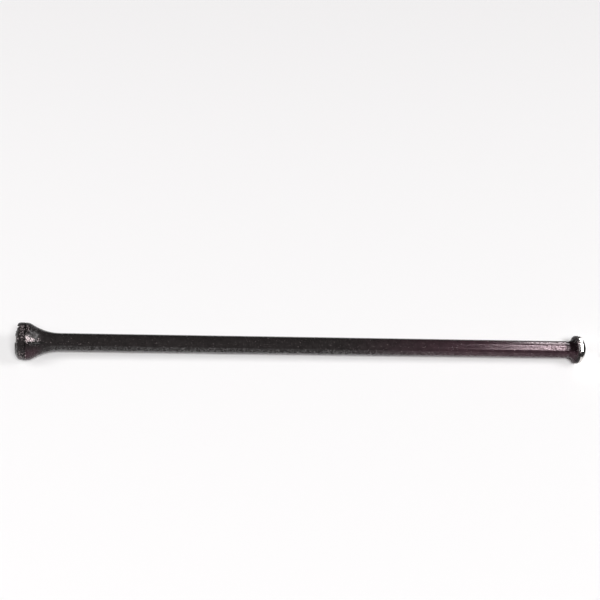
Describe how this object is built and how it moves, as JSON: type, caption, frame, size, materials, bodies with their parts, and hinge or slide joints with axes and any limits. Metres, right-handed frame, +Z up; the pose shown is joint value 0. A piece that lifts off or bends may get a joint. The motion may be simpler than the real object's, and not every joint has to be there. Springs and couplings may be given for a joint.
{
  "type": "engine pushrod",
  "caption": "Solid steel engine pushrod: a slim straight stem with a flared head holding a ball cup at one end and a small flange with a ground domed foot at the other.",
  "frame": {"origin": "middle of the rod's length and width, on the surface that it lies on", "axes": "+X from the cup head towards the domed foot, +Z up from the surface it lies on; the rod's own axis slopes down towards +X by 0.42 degrees, because the head's rim is larger than the foot's"},
  "size_m": [0.265, 0.017, 0.0169],
  "materials": {
    "forged_steel": "oiled black forged steel, with a ground bright dome on the foot"
  },
  "bodies": {
    "root": {"pushrod": "forged_steel"}
  },
  "joints": []
}
